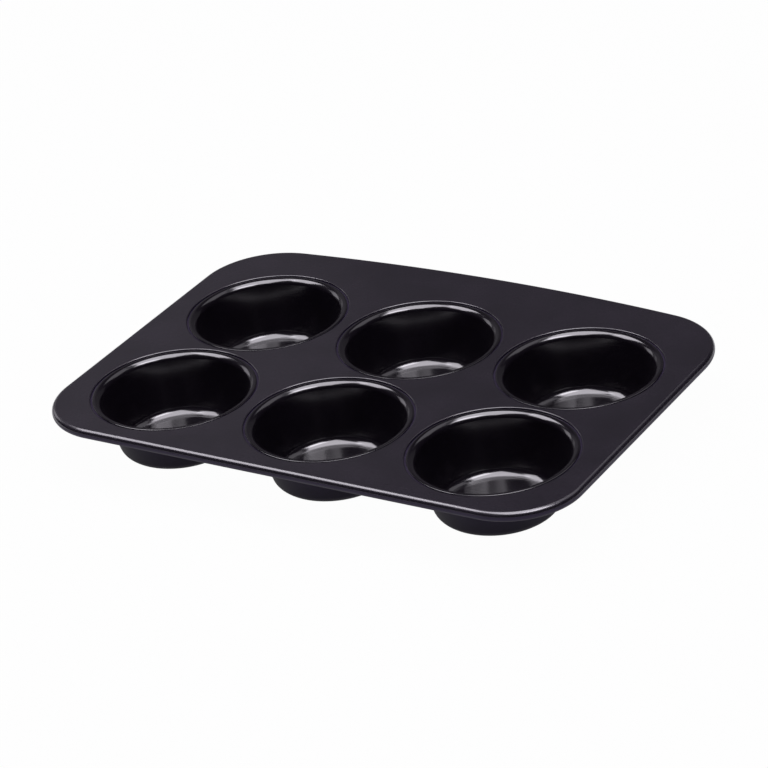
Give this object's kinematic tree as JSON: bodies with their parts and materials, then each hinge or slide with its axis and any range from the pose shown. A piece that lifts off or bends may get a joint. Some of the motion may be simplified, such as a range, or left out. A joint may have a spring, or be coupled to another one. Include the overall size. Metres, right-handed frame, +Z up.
{
  "type": "muffin pan",
  "caption": "Dark non-stick steel pan: tapered round cups seated in a flat frame with a wired, curled edge, rounded corners and a wide bowed grip margin along one long side.",
  "frame": {"origin": "middle of the pan's box, on the surface that the cups stand on", "axes": "+Z up out of the cups, +X along the rows of cups, +Y towards the wide grip margin"},
  "size_m": [0.263, 0.1908, 0.0271],
  "materials": {
    "coated_steel": "satin charcoal non-stick coating on pressed carbon steel",
    "rim_wire": "drawn galvanised wire, hidden inside the curl"
  },
  "bodies": {
    "root": {"frame_sheet": "coated_steel", "rim_wire": "rim_wire", "cup_front_left": "coated_steel", "cup_front_middle": "coated_steel", "cup_front_right": "coated_steel", "cup_back_left": "coated_steel", "cup_back_middle": "coated_steel", "cup_back_right": "coated_steel"}
  },
  "joints": []
}
